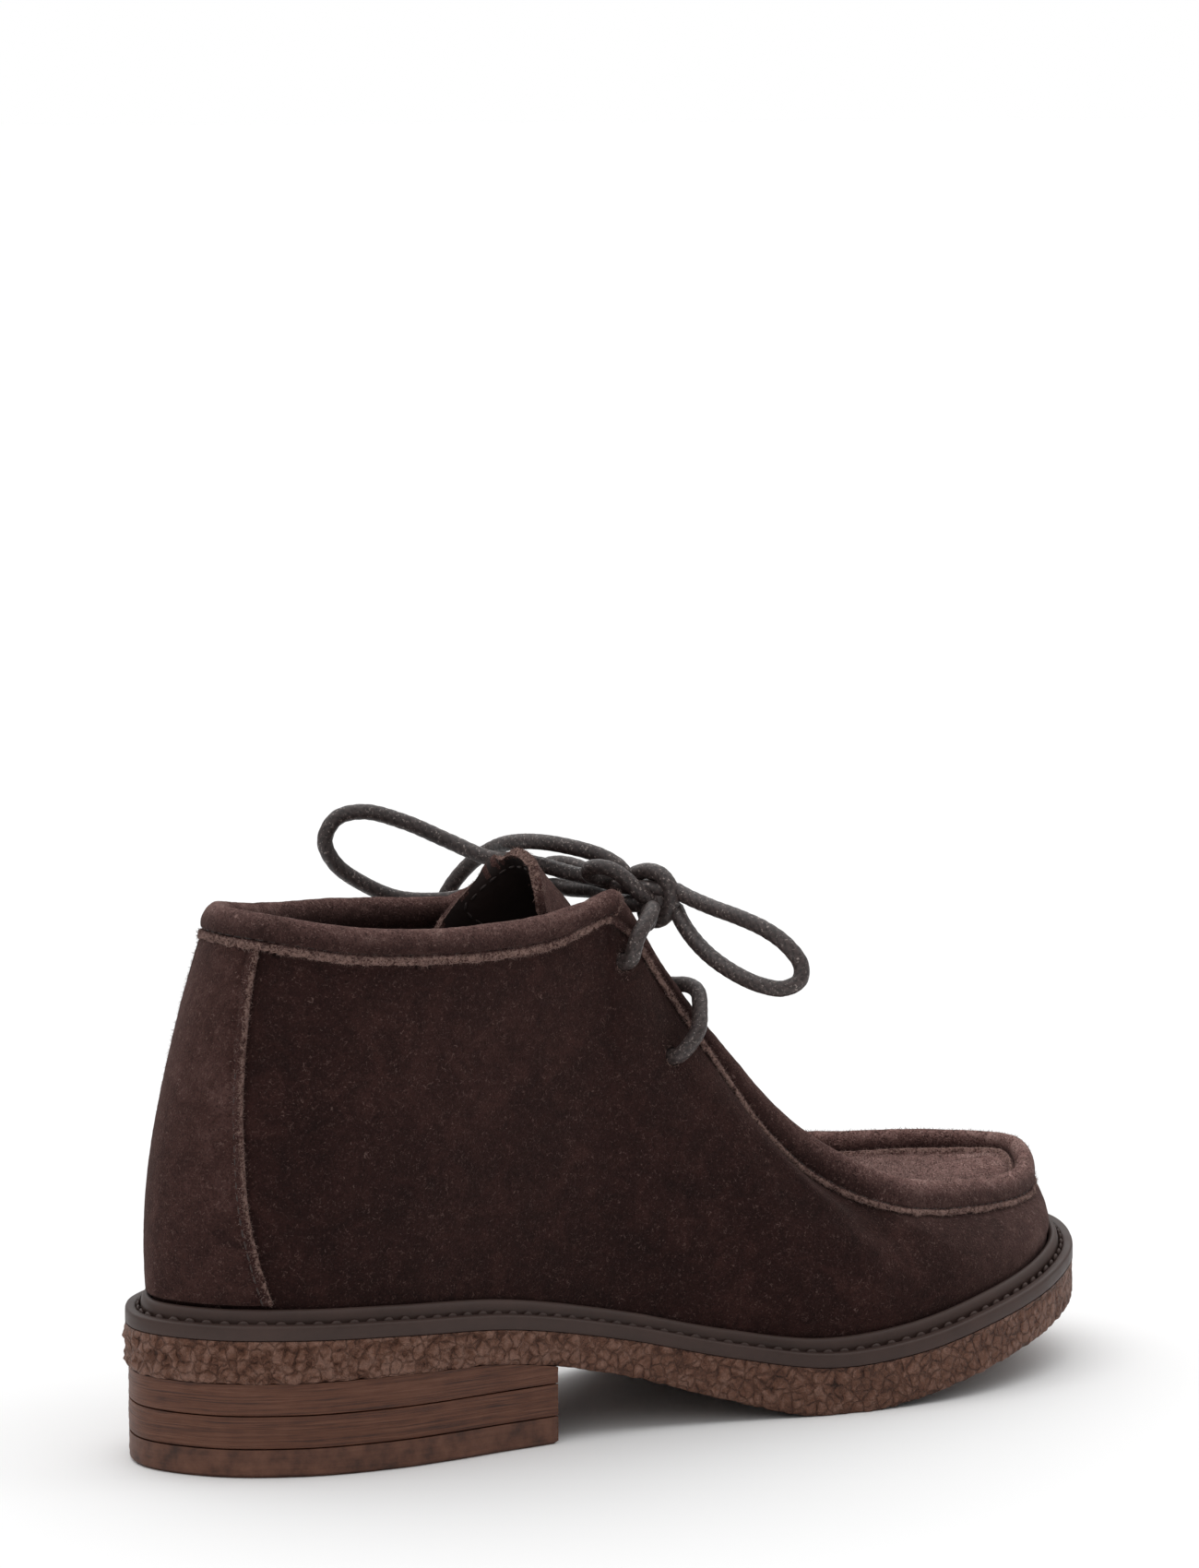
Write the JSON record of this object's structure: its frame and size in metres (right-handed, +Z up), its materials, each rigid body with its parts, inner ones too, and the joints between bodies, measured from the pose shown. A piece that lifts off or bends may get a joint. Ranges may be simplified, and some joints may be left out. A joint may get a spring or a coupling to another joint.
{
  "type": "ankle boot",
  "caption": "Flat suede ankle boot for the right foot: rolled moc-toe apron seam, plain punched eyelets with a bow-tied round lace, rubber welt, crepe sole and stacked heel.",
  "frame": {"origin": "middle of the underside of the boot's box, on the floor, the laces left out", "axes": "+X from the heel to the toe, +Y to the inner side of the foot, +Z up"},
  "size_m": [0.262, 0.1055, 0.1397],
  "materials": {
    "suede": "matte",
    "lining": "matte",
    "lace": "satin",
    "welt_rubber": "satin",
    "crepe": "matte",
    "heel_rubber": "satin"
  },
  "bodies": {
    "root": {"upper": "suede", "back_panel": "suede", "tongue": "suede", "insole": "lining", "welt": "welt_rubber", "midsole": "crepe", "heel_lift_upper": "heel_rubber", "heel_lift_middle": "heel_rubber", "top_lift": "heel_rubber", "lace_crossing": "lace", "lace_knot": "lace", "lace_loop_outer": "lace", "lace_loop_inner": "lace", "lace_end": "lace"}
  },
  "joints": []
}
